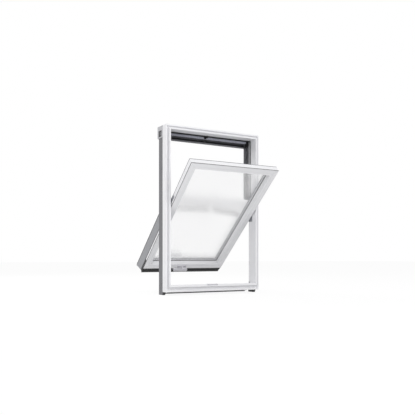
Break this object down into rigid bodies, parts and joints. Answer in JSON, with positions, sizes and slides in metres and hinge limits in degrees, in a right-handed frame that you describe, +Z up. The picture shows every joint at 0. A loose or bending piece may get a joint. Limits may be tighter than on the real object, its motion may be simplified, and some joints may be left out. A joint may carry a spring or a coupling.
{
  "type": "centre-pivot roof window",
  "caption": "Centre-pivot roof window with a white plastic frame, grey outside covers and its glazed sash standing open.",
  "frame": {"origin": "middle of the flat underside of the frame's bottom rail, half way through the frame's depth", "axes": "+Z up along the window from its bottom rail to its head, +Y from the room to the outside, X across the window"},
  "size_m": [0.784, 0.9711, 1.204],
  "materials": {
    "white_pvc": "glossy white PVC",
    "grey_cladding": "grey powder-coated aluminium sheet",
    "black_rubber": "black EPDM rubber",
    "grey_rubber": "grey EPDM rubber",
    "black_plastic": "matt black plastic",
    "light_grey_plastic": "light grey moulded plastic",
    "profile_grey": "dark grey anodised aluminium profile",
    "clear_glass": "clear float glass",
    "spacer_metal": "aluminium spacer",
    "guide_steel": "zinc-plated steel",
    "handle_grey": "light grey painted die-casting"
  },
  "bodies": {
    "root": {"bottom_cladding": "grey_cladding", "frame_bottom_rail": "white_pvc", "frame_head": "white_pvc", "frame_left_jamb": "white_pvc", "frame_right_jamb": "white_pvc", "glazing_spacer": "spacer_metal", "handle_base": "handle_grey", "handle_lever": "handle_grey", "head_catch": "black_plastic", "head_seal": "black_rubber", "hood_inner_profile": "profile_grey", "inner_glazing_gasket": "grey_rubber", "inner_pane": "clear_glass", "keeper_plate": "handle_grey", "left_corner_block": "black_plastic", "left_end_wedge": "black_plastic", "left_frame_guide": "guide_steel", "left_hood_end": "light_grey_plastic", "left_lower_sash_cover": "grey_cladding", "left_sash_arm": "guide_steel", "left_side_cladding": "grey_cladding", "left_upper_cover": "grey_cladding", "left_upper_sash_cover": "grey_cladding", "left_upper_seal": "black_rubber", "outer_glazing_gasket": "black_rubber", "outer_pane": "clear_glass", "right_corner_block": "black_plastic", "right_end_wedge": "black_plastic", "right_frame_guide": "guide_steel", "right_hood_end": "light_grey_plastic", "right_lower_sash_cover": "grey_cladding", "right_sash_arm": "guide_steel", "right_side_cladding": "grey_cladding", "right_upper_cover": "grey_cladding", "right_upper_sash_cover": "grey_cladding", "right_upper_seal": "black_rubber", "sash_bottom_apron": "black_plastic", "sash_bottom_cover": "grey_cladding", "sash_bottom_rail": "white_pvc", "sash_bottom_seal": "black_rubber", "sash_left_stile": "white_pvc", "sash_right_stile": "white_pvc", "sash_top_cover": "grey_cladding", "sash_top_rail": "white_pvc", "top_hood": "grey_cladding"}
  },
  "joints": []
}
